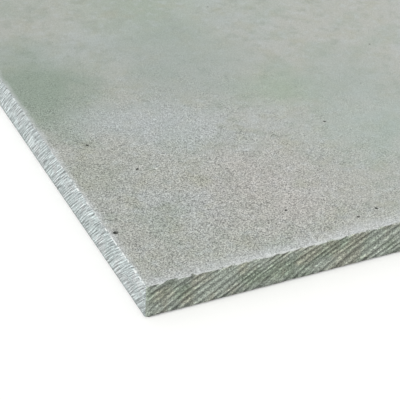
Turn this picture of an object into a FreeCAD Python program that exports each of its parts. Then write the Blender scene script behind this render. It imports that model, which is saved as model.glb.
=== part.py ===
"""Small-format fibre cement facade board: one flat sawn sheet with eased arrises.

Frame: +Z up, millimetres. The board lies on its back face. The origin is the middle of
the back face, X runs along the long edges and Y across the board.
"""

import FreeCAD
import Part
import Sketcher
import os

NODE_NAME = "facade_board"

# alias, value in mm, what it is
DIMENSIONS = [
    ("BoardLength", 1200, "along X, sawn end to sawn end"),
    ("BoardWidth", 600, "along Y, sawn edge to sawn edge"),
    ("BoardThickness", 12, "back face to front face"),
    ("ArrisLeg", 0.4, "leg of the worn 45 degree arris round each face"),
]


def make_dimension_sheet(doc):
    """The spreadsheet that drives the board: name, value and meaning in columns A, B and C."""
    sheet = doc.addObject("Spreadsheet::Sheet", "Dimensions")
    for row, (alias, value, meaning) in enumerate(DIMENSIONS, start=1):
        sheet.set(f"A{row}", alias)
        sheet.set(f"B{row}", str(value))
        sheet.setAlias(f"B{row}", alias)
        sheet.set(f"C{row}", meaning)
    doc.recompute()
    return sheet


def origin_plane(body, role):
    """One of the body's own origin planes, found by its role."""
    return next(feature for feature in body.Origin.OriginFeatures if feature.Role == role)


def sketch_outline(body):
    """The board's rectangle, centred on the origin."""
    sketch = body.newObject("Sketcher::SketchObject", "Outline")
    sketch.AttachmentSupport = (origin_plane(body, "XY_Plane"), [""])
    sketch.MapMode = "FlatFace"

    # Any rectangle will do here: the constraints give it its size and place.
    corners = [FreeCAD.Vector(x, y, 0) for x, y in ((-2, -1), (2, -1), (2, 1), (-2, 1))]
    front, right, back, left = (
        sketch.addGeometry(Part.LineSegment(start, end), False)
        for start, end in zip(corners, corners[1:] + corners[:1])
    )
    line_start, line_end = 1, 2
    origin_point = (-1, 1)
    for this_line, next_line in ((front, right), (right, back), (back, left), (left, front)):
        sketch.addConstraint(
            Sketcher.Constraint("Coincident", this_line, line_end, next_line, line_start)
        )
    for line in (front, back):
        sketch.addConstraint(Sketcher.Constraint("Horizontal", line))
    for line in (right, left):
        sketch.addConstraint(Sketcher.Constraint("Vertical", line))
    sketch.addConstraint(
        Sketcher.Constraint("Symmetric", front, line_start, right, line_end, *origin_point)
    )
    bind_length(sketch, front, "BoardLength")
    bind_length(sketch, right, "BoardWidth")
    return sketch


def bind_length(sketch, line, alias):
    """Gives a line a length constraint that follows the spreadsheet cell of that alias."""
    index = sketch.addConstraint(Sketcher.Constraint("Distance", line, 1.0))
    sketch.renameConstraint(index, alias)
    sketch.setExpression(f"Constraints.{alias}", f"Dimensions.{alias}")


def rim_edges(shape):
    """Names of the edges that run round the back face and the front face."""
    names = []
    for number, edge in enumerate(shape.Edges, start=1):
        if abs(edge.Vertexes[0].Z - edge.Vertexes[-1].Z) < Part.Precision.confusion():
            names.append(f"Edge{number}")
    return names


def make_board(doc):
    """The sheet: its outline padded to the thickness, then both rims eased."""
    body = doc.addObject("PartDesign::Body", "Board")
    body.Label = NODE_NAME

    sheet_pad = body.newObject("PartDesign::Pad", "SawnSheet")
    sheet_pad.Profile = sketch_outline(body)
    sheet_pad.setExpression("Length", "Dimensions.BoardThickness")
    doc.recompute()

    arrises = body.newObject("PartDesign::Chamfer", "Arrises")
    arrises.Base = (sheet_pad, rim_edges(sheet_pad.Shape))
    arrises.setExpression("Size", "Dimensions.ArrisLeg")
    body.Tip = arrises
    doc.recompute()
    return body


def check(doc, body):
    """Stops the build if a feature failed or the board isn't the solid that its sizes give."""
    for item in doc.Objects:
        if "Invalid" in item.State or "Error" in item.State:
            raise RuntimeError(f"{item.Name} failed: {item.State}")
    shape = body.Shape
    if shape.isNull() or not shape.isValid() or len(shape.Solids) != 1:
        raise RuntimeError(f"{body.Label} isn't one valid solid")
    faces = len(shape.Faces)
    if faces != 14:
        raise RuntimeError(f"{body.Label} has {faces} faces, not 2 faces, 4 edges and 8 arrises")


def write_step(body):
    """Writes the board to parts/, named for its node."""
    os.makedirs("parts", exist_ok=True)
    body.Shape.exportStep(f"parts/{body.Label}.step")
    box = body.Shape.BoundBox
    volume_litres = body.Shape.Volume / 1e6
    size = f"{box.XLength:g} x {box.YLength:g} x {box.ZLength:g} mm"
    print(f"{body.Label}: {size}, {volume_litres:.4f} l")


document = FreeCAD.newDocument("FacadeBoard")
make_dimension_sheet(document)
board = make_board(document)
check(document, board)
write_step(board)
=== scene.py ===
"""Looks of the facade board: one flat sheet of fibre cement, pressed face up, sawn all round.

The sheet is modelled in millimetres and scaled to metres at the end. Its faces are flat, with
small blow holes. Its edges carry the furrows that the saw left, coarse on the long edges and
fine on the ends, and its arrises are crumbled and chipped.
"""

import math
import random

import bmesh
import bpy
from mathutils import Matrix, Vector, noise


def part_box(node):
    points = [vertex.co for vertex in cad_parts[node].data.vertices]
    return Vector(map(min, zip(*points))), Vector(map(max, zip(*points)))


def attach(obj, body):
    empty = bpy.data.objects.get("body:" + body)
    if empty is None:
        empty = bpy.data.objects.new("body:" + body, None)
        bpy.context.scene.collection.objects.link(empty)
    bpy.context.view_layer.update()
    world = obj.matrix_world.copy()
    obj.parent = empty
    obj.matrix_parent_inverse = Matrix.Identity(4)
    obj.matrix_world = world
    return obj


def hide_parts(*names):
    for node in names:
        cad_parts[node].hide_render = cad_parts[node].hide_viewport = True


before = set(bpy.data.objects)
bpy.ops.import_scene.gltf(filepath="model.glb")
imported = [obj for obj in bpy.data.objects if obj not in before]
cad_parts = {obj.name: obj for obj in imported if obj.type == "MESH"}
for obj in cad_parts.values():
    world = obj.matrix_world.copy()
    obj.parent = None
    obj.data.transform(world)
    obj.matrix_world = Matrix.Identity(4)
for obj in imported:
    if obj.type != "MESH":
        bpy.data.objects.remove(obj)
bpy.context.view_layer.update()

NODE = "facade_board"
MM = 0.001

# ---------------------------------------------------------------------------------------------
# Sizes of the sheet's own relief, in millimetres unless a name says otherwise
# ---------------------------------------------------------------------------------------------

# How the blade left each pair of edges: lean of its marks in degrees and how they bow, their
# pitch and depth, the width of the mesh's columns, and how deep chips go into the arris
LONG_EDGE_SAW = {"lean": 31.0, "bow": 0.012, "pitch": 2.1, "depth": 0.42, "column": 0.50, "chip": 0.35}
END_SAW = {"lean": 45.0, "bow": 0.010, "pitch": 0.90, "depth": 0.13, "column": 0.40, "chip": 0.3}
FACE_ROWS = 4

# The arrises: usual and least leg, jaggedness, the height where they run out, spacing of chips
ARRIS_LEG = 0.26
LEAST_LEG = 0.06
ARRIS_JAG = 0.15
ARRIS_FADE = 0.50
CHIP_SPACING = 7.0

# Share of the furrows' depth on the rim, on the next row in, and on the rest of the edge
FURROW_SHARE = (0.2, 0.45, 1.0)

# Wear of the upright arris at a corner, and how far it reaches along the edge
CORNER_WEAR = 0.04
CORNER_RUN = 0.5

# On the near long edge's upper arris, knocks that keep the pale line of crushed material and painted
# highlight, and gashes darkened with painted shade: distance from the corner, length and depth
NEAR_KNOCKS = [(24.0, 3.0, 0.35), (41.0, 3.0, 0.4), (66.0, 4.0, 0.4)]
NEAR_GASHES = [(8.5, 4.5, 0.45), (15.5, 1.2, 0.5)]

# A gash of this depth gets the painted shade of a furrow's bottom
GOUGE_DEPTH = 0.35
CORNER_KNOCK = {"corner": 0, "height": 1.5, "depth": 0.25}

# Flat strips inside the rim on the ends and on the long edges, wider than the chips there
RIM_STRIP = (1.0, 2.2)

# The blow holes of the flat faces: at most one in a cell, and a share of the cells has one.
# The wall is the slope round the mouth. Floor is depth by radius, and point is what the middle adds
PIT_CELL = 20.0
LOWER_PIT_CELL = 3.0 * PIT_CELL
PIT_SHARE = 0.5
PIT_MARGIN = 1.3
PIT_RADIUS = (0.18, 0.55)
PIT_STRETCH = (1.0, 1.6)
PIT_WALL = 0.3 * PIT_RADIUS[0]
PIT_FLOOR = 0.6
PIT_POINT = 0.3 * PIT_RADIUS[1]

# The blow holes by the near corner: distance along the long edge, across the board, and radius
CORNER_PITS = [
    (2.0, 29.0, 0.85),
    (13.0, 80.0, 0.55),
    (23.0, 60.0, 0.50),
    (58.0, 20.0, 0.50),
    (86.0, 10.0, 0.60),
    (78.0, 8.0, 0.50),
    (97.0, 64.0, 0.50),
]
CORNER_PIT_STRETCH = 1.2

# Along and across this far from the near corner, only the blow holes listed above are made
CORNER_REACH = (120.0, 150.0)


# ---------------------------------------------------------------------------------------------
# The sheet's mesh
# ---------------------------------------------------------------------------------------------


def wander(first, second=0.0, third=0.0):
    """Smooth noise, about -0.7 to 0.7, at a point counted in noise cells."""
    return noise.noise(Vector((first, second, third)))


def clamp(value, low=0.0, high=1.0):
    return max(low, min(high, value))


def ease(value):
    """Smooth step from 0 to 1."""
    value = clamp(value)
    return value * value * (3.0 - 2.0 * value)


def mix(first, second, share):
    return first + (second - first) * share


def furrow(across, along, pitch, seed):
    """Saw marks from 0, a ridge, to 1, a furrow, at a point across and along the marks."""
    sway = 1.1 * wander(across / (4.0 * pitch), along / 26.0, seed)
    groove = 0.5 - 0.5 * math.cos(2.0 * math.pi * (across / pitch + sway))
    strength = 0.85 + 0.5 * wander(across / (1.7 * pitch), along / 12.0, seed + 5.3)
    tear = 0.40 * wander(across / (0.45 * pitch), along / 6.0, seed + 9.1)
    return clamp(groove * clamp(strength, 0.15) + tear)


def knock(distance, knocks):
    """Depth of the listed knocks at a distance along an arris."""
    depth = 0.0
    for place, length, deepest in knocks:
        reach = abs(distance - place) / (0.5 * length)
        if reach < 1.0:
            ragged = 0.8 + 0.6 * wander(distance / 0.5, 40.0)
            depth = max(depth, deepest * math.sqrt(1.0 - reach * reach) * ragged)
    return depth


def arris_wear(distance, seed, knocks, chip_depth):
    """How far an arris is worn back at a distance along it: jagged, with chips here and there."""
    jag = ARRIS_JAG * wander(distance / 1.1, seed)
    jag += 0.5 * ARRIS_JAG * wander(distance / 0.45, seed, 3.7)
    swell = 0.3 * ARRIS_LEG * wander(distance / 30.0, seed, 8.2)
    chip = chip_depth * ease(2.6 * (wander(distance / CHIP_SPACING, seed, 1.5) - 0.30))
    chip *= 0.7 + 0.9 * wander(distance / 0.8, seed, 6.1)
    return max(LEAST_LEG, ARRIS_LEG + jag + swell + max(chip, knock(distance, knocks)))


def corner_wear(corner, height):
    """How far the upright arris of a corner is worn back at a height."""
    wear = CORNER_WEAR * (1.0 + wander(height / 2.5, corner * 7.3))
    if corner == CORNER_KNOCK["corner"]:
        wear += CORNER_KNOCK["depth"] * ease(1.0 - height / CORNER_KNOCK["height"])
    return wear


class SawnEdge:
    """One of the sheet's four sawn edges, seen from outside with its run to the right.

    Edge 0 faces -Y, edge 1 +X, edge 2 +Y and edge 3 -X, and corner N is at edge N's start.
    """

    def __init__(self, number, half_size, thickness, saw):
        self.number = number
        self.half_run = half_size[number % 2]
        self.offset = half_size[1 - number % 2]
        self.thickness = thickness
        self.saw = saw
        self.slope = 1.0 / math.tan(math.radians(saw["lean"]))
        self.turn = Matrix.Rotation(math.radians(90.0 * number), 4, "Z")
        self.lead = 0.5 * thickness * self.slope + saw["bow"] * thickness**2

    def slant(self, height):
        """How far the saw marks have run along the edge at a height."""
        rise = height - 0.5 * self.thickness
        return rise * self.slope + self.saw["bow"] * rise * rise

    def marks(self, run, height):
        """Distance across and along the saw marks at a point of the edge."""
        lean = math.radians(self.saw["lean"])
        return (run - self.slant(height)) * math.sin(lean), height / math.sin(lean)

    def columns(self):
        return round(2.0 * (self.half_run + self.lead) / self.saw["column"])

    def level_height(self, level, run):
        """Height of a row of the edge's mesh at a distance along it."""
        top = self.wear_at(run, True)
        foot = self.wear_at(run, False)
        low = foot + ARRIS_FADE
        high = self.thickness - top - ARRIS_FADE
        heights = [0.0, foot] + [
            mix(low, high, step / FACE_ROWS) for step in range(FACE_ROWS + 1)
        ] + [self.thickness - top, self.thickness]
        return heights[level]

    def wear_at(self, run, upper):
        """Wear of the upper or lower arris, the same for both edges that meet at a corner."""
        knocks = NEAR_KNOCKS + NEAR_GASHES if upper and self.number == 0 else []
        seed = 11.0 * self.number + (5.0 if upper else 0.0)
        worn = arris_wear(run + self.half_run, seed, knocks, self.saw["chip"])
        return mix(worn, ARRIS_LEG, self.nearness(run))

    def nearness(self, run):
        """1 at a corner, fading to 0 along the edge."""
        return ease(1.0 - (self.half_run - abs(run)) / CORNER_RUN)

    def place(self, along_share, level, levels):
        """Place of a mesh point, with how deep its furrow is and how worn its arris. The furrow value
        also sets painted shade in the furrows and painted light on the ridges, and the worn value marks
        where the pale line of crushed material and painted highlight goes.

        The height depends on the run and the run on the height, so each is worked out twice.
        """
        nominal = self.thickness * level / (levels - 1)
        grid_run = 2.0 * along_share * (self.half_run + self.lead)
        run = clamp(grid_run + self.slant(nominal), -self.half_run, self.half_run)
        height = self.level_height(level, run)
        run = clamp(grid_run + self.slant(height), -self.half_run, self.half_run)
        height = self.level_height(level, run)

        rows_in = min(level, levels - 1 - level)
        on_rim = rows_in == 0
        corner = (self.number + (1 if run > 0 else 0)) % 4
        corner_depth = corner_wear(corner, height) + (ARRIS_LEG if on_rim else 0.0)
        run = clamp(run, corner_depth - self.half_run, self.half_run - corner_depth)
        across, along = self.marks(run, height)
        groove = furrow(across, along, self.saw["pitch"], 20.0 * self.number)
        near = ease(1.0 - (self.half_run - corner_depth - abs(run)) / CORNER_RUN)
        depth = self.saw["depth"] * groove * FURROW_SHARE[min(rows_in, 2)]
        if on_rim:
            depth += self.wear_at(run, level > 0)
        depth = mix(depth, corner_depth, near)
        # Arris rows that take the pale line of crushed material and painted highlight
        worn = 1.0 if level in (0, 1, levels - 2, levels - 1) else 0.0
        # Painted shade in the gashes: they take a furrow's dark shade and lose the pale line
        if self.number == 0 and level >= levels - 3:
            gouged = clamp(knock(run + self.half_run, NEAR_GASHES) / GOUGE_DEPTH)
            groove = max(groove, gouged)
            worn -= gouged
        return self.turn @ Vector((run, depth - self.offset, height)), groove, worn


def add_sawn_edge(sheet, edge, layers):
    """Adds one edge of the sheet to its mesh, as a grid whose columns follow the saw marks."""
    levels = FACE_ROWS + 5
    columns = edge.columns()
    grid = bmesh.ops.create_grid(sheet, x_segments=columns, y_segments=levels - 1, size=0.5)
    for vert in grid["verts"]:
        level = round((vert.co.y + 0.5) * (levels - 1))
        vert.co, groove, worn = edge.place(vert.co.x, level, levels)
        vert[layers["furrow"]] = groove
        vert[layers["worn"]] = worn
    faces = {face for vert in grid["verts"] for face in vert.link_faces}
    for face in faces:
        face.smooth = True
        face.material_index = 1 + edge.number % 2
        for loop in face.loops:
            local = edge.turn.inverted() @ loop.vert.co
            across, along = edge.marks(local.x, local.z)
            loop[layers["marks"]].uv = (across * MM, along * MM)


def close_face(sheet, height):
    """Fills the rim of the upper or lower face with one flat face."""
    rim = [
        edge
        for edge in sheet.edges
        if len(edge.link_faces) == 1 and abs(edge.verts[0].co.z - height) < 0.01
    ]
    return bmesh.ops.edgeloop_fill(sheet, edges=rim)["faces"][0]


def cut_into_cells(sheet, face, half_size, cell):
    """Cuts a flat face into a rim strip and cells, and returns the cells."""
    faces = [face]
    for axis, half in enumerate(half_size):
        inner = half - RIM_STRIP[axis]
        cuts = round(2.0 * inner / cell)
        for number in range(cuts + 1):
            place = Vector((0.0, 0.0, 0.0))
            place[axis] = mix(-inner, inner, number / cuts)
            normal = Vector((0.0, 0.0, 0.0))
            normal[axis] = 1.0
            around = {item for face in faces for item in (*face.verts, *face.edges)}
            cut = bmesh.ops.bisect_plane(
                sheet, geom=[*faces, *around], plane_co=place, plane_no=normal, dist=1e-4
            )
            faces = [item for item in cut["geom"] if isinstance(item, bmesh.types.BMFace)]
    return [face for face in faces if face.calc_area() > 0.5 * cell * cell]


def pit_face(sheet, cells, half_size, draw, corner_pits, down):
    """Sinks the blow holes of one face, at most one in a cell and away from the cell's sides."""
    pits = []
    for cell in cells:
        xs = [vert.co.x for vert in cell.verts]
        ys = [vert.co.y for vert in cell.verts]
        x, y = (draw.uniform(min(side) + PIT_MARGIN, max(side) - PIT_MARGIN) for side in (xs, ys))
        radius = mix(*PIT_RADIUS, draw.random() ** 3)
        stretch = draw.uniform(*PIT_STRETCH)
        turn = draw.uniform(0.0, math.pi)
        by_corner = (
            corner_pits
            and x + half_size[0] < CORNER_REACH[0]
            and y + half_size[1] < CORNER_REACH[1]
        )
        pitted = draw.random() < PIT_SHARE and not by_corner
        for along, across, corner_radius in corner_pits:
            place_x, place_y = along - half_size[0], across - half_size[1]
            if min(xs) < place_x < max(xs) and min(ys) < place_y < max(ys):
                x = clamp(place_x, min(xs) + PIT_MARGIN, max(xs) - PIT_MARGIN)
                y = clamp(place_y, min(ys) + PIT_MARGIN, max(ys) - PIT_MARGIN)
                radius, stretch, pitted = corner_radius, CORNER_PIT_STRETCH, True
        if pitted:
            pits.append((cell, x, y, radius, stretch, turn))

    mouths = [pit[0] for pit in pits]
    bmesh.ops.inset_individual(sheet, faces=mouths, thickness=PIT_MARGIN)
    bmesh.ops.bisect_edges(sheet, edges=[edge for face in mouths for edge in face.edges], cuts=1)
    for mouth, x, y, radius, stretch, turn in pits:
        middle = mouth.calc_center_median()
        for vert in mouth.verts:
            away = vert.co - middle
            angle = math.atan2(away.y, away.x)
            reach = radius / math.hypot(math.cos(angle - turn) / stretch, math.sin(angle - turn))
            vert.co.x = x + reach * math.cos(angle)
            vert.co.y = y + reach * math.sin(angle)
    bmesh.ops.inset_individual(sheet, faces=mouths, thickness=PIT_WALL)
    for mouth, _, _, radius, _, _ in pits:
        for vert in mouth.verts:
            vert.co.z += PIT_FLOOR * radius * down
    bottoms = bmesh.ops.poke(sheet, faces=mouths)
    for vert in bottoms["verts"]:
        vert.co.z += PIT_POINT * down


def make_sheet():
    """The whole sheet as one closed mesh, in the place of its CAD node."""
    low, high = (Vector(corner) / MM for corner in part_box(NODE))
    size = high - low
    half_size = (0.5 * size.x, 0.5 * size.y)
    thickness = size.z
    sheet = bmesh.new()
    layers = {
        "furrow": sheet.verts.layers.float.new("furrow"),
        "worn": sheet.verts.layers.float.new("worn"),
        "marks": sheet.loops.layers.uv.new("saw_marks"),
    }
    for number in range(4):
        saw = LONG_EDGE_SAW if number % 2 == 0 else END_SAW
        add_sawn_edge(sheet, SawnEdge(number, half_size, thickness, saw), layers)
    bmesh.ops.remove_doubles(sheet, verts=sheet.verts, dist=0.002)

    upper = close_face(sheet, thickness)
    lower = close_face(sheet, 0.0)
    draw = random.Random(7)
    upper_cells = cut_into_cells(sheet, upper, half_size, PIT_CELL)
    pit_face(sheet, upper_cells, half_size, draw, CORNER_PITS, -1.0)
    lower_cells = cut_into_cells(sheet, lower, half_size, LOWER_PIT_CELL)
    pit_face(sheet, lower_cells, half_size, draw, [], 1.0)

    bmesh.ops.recalc_face_normals(sheet, faces=sheet.faces)
    middle = Vector((0.5 * (low.x + high.x), 0.5 * (low.y + high.y), low.z))
    to_metres = Matrix.Scale(MM, 4) @ Matrix.Translation(middle)
    bmesh.ops.transform(sheet, matrix=to_metres, verts=sheet.verts)
    mesh = bpy.data.meshes.new("sawn_sheet")
    sheet.to_mesh(mesh)
    sheet.free()
    piece = bpy.data.objects.new("sawn_sheet", mesh)
    bpy.context.scene.collection.objects.link(piece)
    return piece


# ---------------------------------------------------------------------------------------------
# Materials
# ---------------------------------------------------------------------------------------------

MIX_A, MIX_B, MIX_COLOUR = 6, 7, 2

# Clouds that drift over the pressed face: size in mm, tint, how strong, from what noise level.
# A cloud reaches its full strength CLOUD_FADE above that level
CLOUD_FADE = 0.2
CLOUDS = [
    (110.0, "#909D8E", 0.7, 0.54),
    (90.0, "#A3AFA3", 0.45, 0.48),
    (34.0, "#AEB5B7", 0.40, 0.48),
    (18.0, "#9DA69C", 0.6, 0.50),
    (9.0, "#A4A698", 0.5, 0.50),
    (5.0, "#989F96", 0.50, 0.50),
    (4.0, "#B4BABA", 0.40, 0.50),
]

# Patches by the near corner, in mm: along the long edge, across the board, radius, tint, how strong
FACE_PATCHES = [
    (5.0, 122.0, 30.0, "#8C9A8D", 0.85),
    (92.0, 92.0, 16.0, "#98A896", 0.6),
    (42.0, 80.0, 18.0, "#B4BABC", 0.5),
    (26.0, 92.0, 14.0, "#B0B7B8", 0.4),
    (60.0, 32.0, 24.0, "#B6B1AE", 0.5),
    (40.0, 46.0, 3.5, "#A0A394", 0.45),
    (70.0, 32.0, 3.5, "#A2A596", 0.45),
    (6.0, 62.0, 12.0, "#A2A69A", 0.5),
    (112.0, 55.0, 26.0, "#A0AEA8", 0.5),
    (68.0, 120.0, 32.0, "#9AA49F", 0.6),
    (122.0, 88.0, 20.0, "#9CA7A1", 0.5),
    (29.0, 58.0, 0.4, "#E0E2DE", 1.0),
]

# Paste half hides the grit: how far it shows anywhere, and how much more where handling has
# rubbed the paste away round the near corner, out to these distances in mm
GRIT_SHOWN = 0.17
GRIT_RUBBED_BARE = 0.68
RUBBED_REACH = (50.0, 150.0)

# Noise sizes in mm of the grit. The face's light and dark grit is drawn finer than its grains,
# which are 0.6 to 0.9 mm, because the speckle looked right at that size. The sand isn't
FACE_GRIT = 0.44
DARK_SAND = 0.9
SAWN_GRIT = 0.55

# How strong the paler band inside each arris is, and how far it hides the grit
RIM_BAND = 0.70
RIM_BAND_HIDES = 0.6

# Noise level from which the ground colour of a sawn edge is stained
STAIN_LEVEL = 0.46

# The arrises' pale line, of crushed material and painted highlight, is stronger near that corner, out to
# these distances in mm
CRUSH_AND_HIGHLIGHT_REACH = (35.0, 110.0)


def colour(hex_code):
    """A linear colour from an sRGB hex value."""
    channels = [int(hex_code[place : place + 2], 16) / 255.0 for place in (1, 3, 5)]
    linear = [c / 12.92 if c <= 0.04045 else ((c + 0.055) / 1.055) ** 2.4 for c in channels]
    return (*linear, 1.0)


def add_node(tree, kind, sockets=None, **settings):
    """Adds a node: settings are its properties, and sockets gives its inputs values or links."""
    node = tree.nodes.new(kind)
    for name, value in settings.items():
        setattr(node, name, value)
    for name, value in (sockets or {}).items():
        if isinstance(value, bpy.types.NodeSocket):
            tree.links.new(value, node.inputs[name])
        else:
            node.inputs[name].default_value = value
    return node


def new_material(name):
    material = bpy.data.materials.new(name)
    material.use_nodes = True
    material.node_tree.nodes.clear()
    return material, material.node_tree


def per_metre(size_mm):
    """Texture scale that gives a pattern of a size in millimetres on coordinates in metres."""
    return 1.0 / (size_mm * MM)


def tint(tree, base, vector, size_mm, hex_code, amount, threshold):
    """Lays drifting patches of a tint over a base colour."""
    patches = add_node(
        tree, "ShaderNodeTexNoise", {"Vector": vector, "Scale": per_metre(size_mm), "Detail": 3.0}
    )
    cover = add_node(
        tree,
        "ShaderNodeMapRange",
        {
            "Value": patches.outputs["Fac"],
            "From Min": threshold,
            "From Max": threshold + CLOUD_FADE,
            "To Max": amount,
        },
        interpolation_type="SMOOTHSTEP",
    )
    mixed = add_node(
        tree,
        "ShaderNodeMix",
        {"Factor": cover.outputs["Result"], MIX_A: base, MIX_B: colour(hex_code)},
        data_type="RGBA",
    )
    return mixed.outputs[MIX_COLOUR]


def patch(tree, coordinates, ragged, place, reach, amount):
    """A round patch with a ragged rim: its strength falls to 0 between two distances in mm."""
    away = add_node(tree, "ShaderNodeVectorMath", {0: coordinates, 1: place}, operation="DISTANCE")
    inner, outer = (distance * MM for distance in reach)
    frayed = add_node(
        tree,
        "ShaderNodeMath",
        {0: ragged.outputs["Fac"], 1: outer - inner, 2: away.outputs["Value"]},
        operation="MULTIPLY_ADD",
    )
    half_fray = 0.5 * (outer - inner)
    cover = add_node(
        tree,
        "ShaderNodeMapRange",
        {
            "Value": frayed.outputs[0],
            "From Min": inner + half_fray,
            "From Max": outer + half_fray,
            "To Min": amount,
            "To Max": 0.0,
        },
        interpolation_type="SMOOTHSTEP",
    )
    return cover.outputs["Result"]


def shifted(tree, vector, x, y, z):
    """The same coordinates moved away, so that the next pattern isn't a copy of the last."""
    moved = add_node(tree, "ShaderNodeMapping", {"Vector": vector, "Location": (x, y, z)})
    return moved.outputs["Vector"]


def pressed_fibre_cement(half_size, thickness):
    """Fibre cement, uncoated, as the press and the felt left it.

    To the eye it is a dry, chalky, faintly green grey that scatters light evenly, with fine
    sand grit, clouds of lime and moisture, and a paler rim where the saw dust has rubbed in.
    """
    material, tree = new_material("pressed_fibre_cement")
    coordinates = add_node(tree, "ShaderNodeTexCoord").outputs["Object"]

    base = colour("#ADAFA9")
    for number, (size_mm, hex_code, amount, threshold) in enumerate(CLOUDS):
        moved = shifted(tree, coordinates, 3.1 * number, 1.7 * number, 0.4 * number)
        base = tint(tree, base, moved, size_mm, hex_code, amount, threshold)
    near_corner = Vector((-half_size[0], -half_size[1], thickness))
    coarse_rag, fine_rag = (
        add_node(
            tree,
            "ShaderNodeTexNoise",
            {"Vector": coordinates, "Scale": per_metre(size_mm), "Detail": 4.0},
        )
        for size_mm in (18.0, 5.0)
    )
    for along, across, radius, hex_code, amount in FACE_PATCHES:
        place = near_corner + Vector((along, across, 0.0)) * MM
        cover = patch(tree, coordinates, coarse_rag, place, (0.2 * radius, 1.5 * radius), amount)
        base = add_node(
            tree,
            "ShaderNodeMix",
            {"Factor": cover, MIX_A: base, MIX_B: colour(hex_code)},
            data_type="RGBA",
        ).outputs[MIX_COLOUR]

    # A paler band inside each arris, gone about 6 mm in on the long edges and 2 mm in on the ends
    split = add_node(tree, "ShaderNodeSeparateXYZ", {"Vector": coordinates})
    gaps = []
    for axis, half, narrowing in (("X", half_size[0], 3.0), ("Y", half_size[1], 1.0)):
        away = add_node(tree, "ShaderNodeMath", {0: split.outputs[axis]}, operation="ABSOLUTE")
        gap = add_node(tree, "ShaderNodeMath", {0: half, 1: away.outputs[0]}, operation="SUBTRACT")
        gap = add_node(tree, "ShaderNodeMath", {0: gap.outputs[0], 1: narrowing}, operation="MULTIPLY")
        gaps.append(gap.outputs[0])
    rim = add_node(tree, "ShaderNodeMath", {0: gaps[0], 1: gaps[1]}, operation="MINIMUM")
    frayed = add_node(
        tree,
        "ShaderNodeMath",
        {0: fine_rag.outputs["Fac"], 1: -8.0 * MM, 2: rim.outputs[0]},
        operation="MULTIPLY_ADD",
    )
    band = add_node(
        tree,
        "ShaderNodeMapRange",
        {
            "Value": frayed.outputs[0],
            "From Min": -4.5 * MM,
            "From Max": 2.5 * MM,
            "To Min": RIM_BAND,
            "To Max": 0.0,
        },
    )
    base = add_node(
        tree,
        "ShaderNodeMix",
        {"Factor": band.outputs["Result"], MIX_A: base, MIX_B: colour("#C9CCCE")},
        data_type="RGBA",
    ).outputs[MIX_COLOUR]

    # Sand grit, light and dark, half hidden in patches where cement paste covers it
    grit = add_node(
        tree,
        "ShaderNodeTexNoise",
        {"Vector": coordinates, "Scale": per_metre(FACE_GRIT), "Detail": 2.0, "Roughness": 0.7},
    )
    grains = add_node(
        tree,
        "ShaderNodeMapRange",
        {
            "Value": grit.outputs["Fac"],
            "From Min": 0.36,
            "From Max": 0.64,
            "To Min": 0.32,
            "To Max": 1.64,
        },
    )
    dark_sand = add_node(
        tree, "ShaderNodeTexNoise", {"Vector": coordinates, "Scale": per_metre(DARK_SAND), "Detail": 1.0}
    )
    dark_grains = add_node(
        tree,
        "ShaderNodeMapRange",
        {
            "Value": dark_sand.outputs["Fac"],
            "From Min": 0.60,
            "From Max": 0.70,
            "To Min": 1.0,
            "To Max": 0.6,
        },
    )
    grains = add_node(
        tree,
        "ShaderNodeMath",
        {0: grains.outputs["Result"], 1: dark_grains.outputs["Result"]},
        operation="MULTIPLY",
    )
    rubbed = patch(tree, coordinates, fine_rag, near_corner, RUBBED_REACH, GRIT_RUBBED_BARE)
    shown = add_node(tree, "ShaderNodeMath", {0: rubbed, 1: GRIT_SHOWN}, operation="ADD")
    clear = add_node(
        tree,
        "ShaderNodeMath",
        {0: band.outputs["Result"], 1: -RIM_BAND_HIDES, 2: 1.0},
        operation="MULTIPLY_ADD",
    )
    shown = add_node(
        tree, "ShaderNodeMath", {0: shown.outputs[0], 1: clear.outputs[0]}, operation="MULTIPLY"
    )
    shade = add_node(
        tree,
        "ShaderNodeMix",
        {0: shown.outputs[0], 2: 1.0, 3: grains.outputs[0]},
    )
    speckled = add_node(
        tree, "ShaderNodeVectorMath", {0: base, "Scale": shade.outputs[0]}, operation="SCALE"
    )

    # The blow holes are painted dark below the face: painted shade, with dark dust
    height = add_node(
        tree,
        "ShaderNodeMath",
        {0: split.outputs["Z"], 1: 0.5 * thickness},
        operation="SUBTRACT",
    )
    level = add_node(tree, "ShaderNodeMath", {0: height.outputs[0]}, operation="ABSOLUTE")
    pit_painted_shade = add_node(
        tree,
        "ShaderNodeMapRange",
        {
            "Value": level.outputs[0],
            "From Min": 0.5 * thickness - 0.25 * MM,
            "From Max": 0.5 * thickness - 0.02 * MM,
            "To Min": 0.85,
            "To Max": 0.0,
        },
    )
    final = add_node(
        tree,
        "ShaderNodeMix",
        {"Factor": pit_painted_shade.outputs["Result"], MIX_A: speckled.outputs["Vector"], MIX_B: colour("#4A4D48")},
        data_type="RGBA",
    )

    bump = add_node(
        tree,
        "ShaderNodeBump",
        {"Height": grit.outputs["Fac"], "Strength": 0.6, "Distance": 0.3 * MM},
    )
    surface = add_node(
        tree,
        "ShaderNodeBsdfPrincipled",
        {
            "Base Color": final.outputs[MIX_COLOUR],
            "Roughness": 0.88,
            "Diffuse Roughness": 0.8,
            "IOR": 1.5,
            "Specular IOR Level": 0.35,
            "Normal": bump.outputs["Normal"],
        },
    )
    add_node(tree, "ShaderNodeOutputMaterial", {"Surface": surface.outputs["BSDF"]})
    return material


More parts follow.
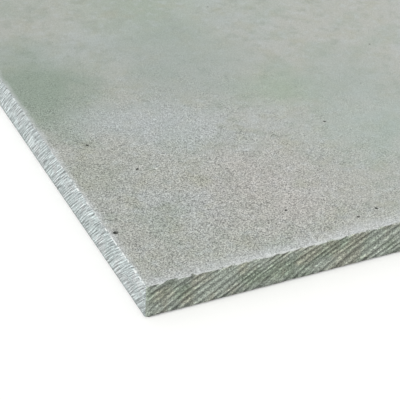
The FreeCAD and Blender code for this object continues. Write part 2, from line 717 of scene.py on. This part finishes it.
def sawn_fibre_cement(
    name,
    near_corner,
    ground,
    stains,
    painted_furrow_contrast,
    streak_size,
    streak_length,
    streak_shade,
    grit_shade,
    crush_and_highlight,
):
    """Fibre cement cut with a blade.

    To the eye it is dull and furrowed: furrows darkened with painted shade, ridges lightened with painted
    light and with fibres drawn out along the blade's way, a pale line on each upper arris that is partly
    crushed material and partly painted highlight, and painted shade along the foot.
    """
    material, tree = new_material(name)
    coordinates = add_node(tree, "ShaderNodeTexCoord").outputs["Object"]
    marks = add_node(tree, "ShaderNodeUVMap", uv_map="saw_marks").outputs["UV"]
    furrows = add_node(tree, "ShaderNodeAttribute", attribute_name="furrow").outputs["Fac"]
    worn = add_node(tree, "ShaderNodeAttribute", attribute_name="worn").outputs["Fac"]

    base = colour(ground)
    for number, (size_mm, hex_code, amount) in enumerate(stains):
        moved = shifted(tree, coordinates, 2.4 * number, 6.1 * number, 0.3 * number)
        base = tint(tree, base, moved, size_mm, hex_code, amount, STAIN_LEVEL)

    squeeze = streak_size / streak_length
    drawn = add_node(tree, "ShaderNodeMapping", {"Vector": marks, "Scale": (1.0, squeeze, 1.0)})
    streaks = add_node(
        tree,
        "ShaderNodeTexNoise",
        {
            "Vector": drawn.outputs["Vector"],
            "Scale": per_metre(streak_size),
            "Detail": 3.0,
            "Roughness": 0.65,
        },
    )
    grit = add_node(
        tree,
        "ShaderNodeTexNoise",
        {"Vector": coordinates, "Scale": per_metre(SAWN_GRIT), "Detail": 2.0, "Roughness": 0.7},
    )
    foot = add_node(tree, "ShaderNodeSeparateXYZ", {"Vector": coordinates})

    # What shades the ground: value, its low and high ends, and the shade at each
    shades = [
        # Painted shade in the furrows and painted light on the ridges, from the furrow value
        (furrows, 0.0, 1.0, 1.0 + 0.4 * painted_furrow_contrast, 1.0 - painted_furrow_contrast),
        (streaks.outputs["Fac"], 0.35, 0.65, 1.0 - streak_shade, 1.0 + streak_shade),
        (grit.outputs["Fac"], 0.35, 0.65, 1.0 - grit_shade, 1.0 + grit_shade),
        # Painted shade: darker towards the foot of the edge, over its lowest 1.4 mm
        (foot.outputs["Z"], 0.0, 1.4 * MM, 0.6, 1.0),
    ]
    for value, low, high, dark, light in shades:
        shade = add_node(
            tree,
            "ShaderNodeMapRange",
            {"Value": value, "From Min": low, "From Max": high, "To Min": dark, "To Max": light},
        )
        base = add_node(
            tree, "ShaderNodeVectorMath", {0: base, "Scale": shade.outputs["Result"]}, operation="SCALE"
        ).outputs["Vector"]

    # The pale line on the upper arrises: crumbs of crushed material and painted highlight where the arris
    # is worn, more of them near the near corner
    crush_and_highlight_noise = add_node(
        tree,
        "ShaderNodeTexNoise",
        {"Vector": coordinates, "Scale": per_metre(1.8), "Detail": 4.0, "Roughness": 0.7},
    )
    corner_crush_and_highlight = patch(tree, coordinates, crush_and_highlight_noise, near_corner, CRUSH_AND_HIGHLIGHT_REACH, crush_and_highlight)
    crumbs_and_highlight = add_node(
        tree,
        "ShaderNodeMath",
        {0: crush_and_highlight_noise.outputs["Fac"], 1: 2.2, 2: worn},
        operation="MULTIPLY_ADD",
    )
    crumbs_and_highlight = add_node(tree, "ShaderNodeMath", {0: crumbs_and_highlight.outputs[0], 1: corner_crush_and_highlight}, operation="ADD")
    line = add_node(
        tree,
        "ShaderNodeMapRange",
        {"Value": crumbs_and_highlight.outputs[0], "From Min": 2.15, "From Max": 2.45, "To Max": 0.95},
        interpolation_type="SMOOTHSTEP",
    )
    high = add_node(
        tree,
        "ShaderNodeMath",
        {0: foot.outputs["Z"], 1: 2.0 * MM},
        operation="GREATER_THAN",
    )
    line = add_node(
        tree, "ShaderNodeMath", {0: line.outputs["Result"], 1: high.outputs[0]}, operation="MULTIPLY"
    )
    final = add_node(
        tree,
        "ShaderNodeMix",
        {"Factor": line.outputs[0], MIX_A: base, MIX_B: colour("#E0E3E1")},
        data_type="RGBA",
    )

    relief = add_node(
        tree, "ShaderNodeMath", {0: streaks.outputs["Fac"], 1: grit.outputs["Fac"]}, operation="ADD"
    )
    bump = add_node(
        tree,
        "ShaderNodeBump",
        {"Height": relief.outputs[0], "Strength": 0.9, "Distance": 0.4 * MM},
    )
    surface = add_node(
        tree,
        "ShaderNodeBsdfPrincipled",
        {
            "Base Color": final.outputs[MIX_COLOUR],
            "Roughness": 0.92,
            "Diffuse Roughness": 0.8,
            "IOR": 1.5,
            "Specular IOR Level": 0.3,
            "Normal": bump.outputs["Normal"],
        },
    )
    add_node(tree, "ShaderNodeOutputMaterial", {"Surface": surface.outputs["BSDF"]})
    return material


# ---------------------------------------------------------------------------------------------
# Studio
# ---------------------------------------------------------------------------------------------

CAMERA_AIM = Vector((34.6, 35.6, 0.0)) * MM
CAMERA_DISTANCE = 472.4 * MM
CAMERA_HEADING = math.radians(26.9)
CAMERA_ELEVATION = math.radians(34.2)
CAMERA_ROLL = math.radians(2.9)
CAMERA_LENS = 131.0

FLOOR_SIZE = 30.0
FLOOR_DROP = 0.3 * MM
FLOOR_LIFT = 0.25

SKY_LEVEL = 0.62
KEY_LEVEL = 0.80
KEY_HEADING = math.radians(84.0)
KEY_ELEVATION = math.radians(30.0)
KEY_SOFTNESS = math.radians(22.0)


def place_camera(near_corner):
    """The camera looks down on the near corner, turned a little clockwise."""
    camera = bpy.data.objects.new("camera", bpy.data.cameras.new("camera"))
    camera.data.lens = CAMERA_LENS
    camera.data.sensor_width = 36.0
    turn = (
        Matrix.Rotation(-CAMERA_HEADING, 4, "Z")
        @ Matrix.Rotation(math.radians(90.0) - CAMERA_ELEVATION, 4, "X")
        @ Matrix.Rotation(CAMERA_ROLL, 4, "Z")
    )
    aim = near_corner + CAMERA_AIM
    camera.matrix_world = Matrix.Translation(aim + turn @ Vector((0.0, 0.0, CAMERA_DISTANCE))) @ turn
    bpy.context.scene.collection.objects.link(camera)
    bpy.context.scene.camera = camera


def seen_directly(tree):
    """1 where a camera, mirror or glass ray looks at the surface itself, else 0."""
    path = add_node(tree, "ShaderNodeLightPath")
    seen = path.outputs["Is Camera Ray"]
    for other in ("Is Glossy Ray", "Is Transmission Ray"):
        seen = add_node(
            tree, "ShaderNodeMath", {0: seen, 1: path.outputs[other]}, operation="MAXIMUM"
        ).outputs[0]
    return seen


def make_floor():
    """A plain pale floor that looks white and keeps the board's shadow."""
    grid = bmesh.new()
    bmesh.ops.create_grid(grid, x_segments=1, y_segments=1, size=0.5 * FLOOR_SIZE)
    bmesh.ops.translate(grid, vec=(0.0, 0.0, -FLOOR_DROP), verts=grid.verts)
    mesh = bpy.data.meshes.new("floor")
    grid.to_mesh(mesh)
    grid.free()
    floor = bpy.data.objects.new("floor", mesh)
    bpy.context.scene.collection.objects.link(floor)

    material, tree = new_material("pale_floor")
    surface = add_node(
        tree,
        "ShaderNodeBsdfPrincipled",
        {"Base Color": colour("#E6E6E4"), "Roughness": 0.9, "Emission Color": (1.0, 1.0, 1.0, 1.0)},
    )
    lift = add_node(tree, "ShaderNodeMath", {0: seen_directly(tree), 1: FLOOR_LIFT}, operation="MULTIPLY")
    tree.links.new(lift.outputs[0], surface.inputs["Emission Strength"])
    add_node(tree, "ShaderNodeOutputMaterial", {"Surface": surface.outputs["BSDF"]})
    mesh.materials.append(material)


def light_studio():
    """An even sky and one broad key light, low from the left."""
    world = bpy.data.worlds.new("studio")
    bpy.context.scene.world = world
    world.use_nodes = True
    tree = world.node_tree
    tree.nodes.clear()
    sky = add_node(tree, "ShaderNodeBackground", {"Color": (1.0, 1.0, 1.0, 1.0), "Strength": SKY_LEVEL})
    backdrop = add_node(tree, "ShaderNodeBackground", {"Color": (1.0, 1.0, 1.0, 1.0), "Strength": 1.0})
    shown = add_node(
        tree, "ShaderNodeMixShader", {0: seen_directly(tree), 1: sky.outputs[0], 2: backdrop.outputs[0]}
    )
    add_node(tree, "ShaderNodeOutputWorld", {"Surface": shown.outputs[0]})

    key = bpy.data.objects.new("key_light", bpy.data.lights.new("key_light", "SUN"))
    key.data.energy = KEY_LEVEL * math.pi
    key.data.angle = KEY_SOFTNESS
    key.matrix_world = Matrix.Rotation(-KEY_HEADING, 4, "Z") @ Matrix.Rotation(
        math.radians(90.0) - KEY_ELEVATION, 4, "X"
    )
    bpy.context.scene.collection.objects.link(key)


# ---------------------------------------------------------------------------------------------
# Making the scene
# ---------------------------------------------------------------------------------------------

board_low, board_high = (Vector(corner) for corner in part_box(NODE))
board_size = board_high - board_low

sheet_piece = make_sheet()
near_corner = Vector((board_low.x, board_low.y, board_high.z))
sheet_piece.data.materials.append(
    pressed_fibre_cement((0.5 * board_size.x, 0.5 * board_size.y), board_size.z)
)
sheet_piece.data.materials.append(
    sawn_fibre_cement(
        "coarse_sawn_fibre_cement",
        near_corner,
        ground="#B5BDB3",
        stains=[(12.0, "#9CA997", 0.8), (7.0, "#B4B2A2", 0.6)],
        painted_furrow_contrast=0.48,
        streak_size=0.55,
        streak_length=3.5,
        streak_shade=0.28,
        grit_shade=0.46,
        crush_and_highlight=0.40,
    )
)
sheet_piece.data.materials.append(
    sawn_fibre_cement(
        "fine_sawn_fibre_cement",
        near_corner,
        ground="#ADB5B5",
        stains=[(14.0, "#A7B0AF", 0.7), (6.0, "#B0B1B1", 0.5)],
        painted_furrow_contrast=0.42,
        streak_size=0.32,
        streak_length=10.0,
        streak_shade=0.56,
        grit_shade=0.30,
        crush_and_highlight=0.20,
    )
)
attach(sheet_piece, "root")
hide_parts(NODE)

bpy.context.scene.view_settings.view_transform = "Standard"
place_camera(near_corner)
make_floor()
light_studio()
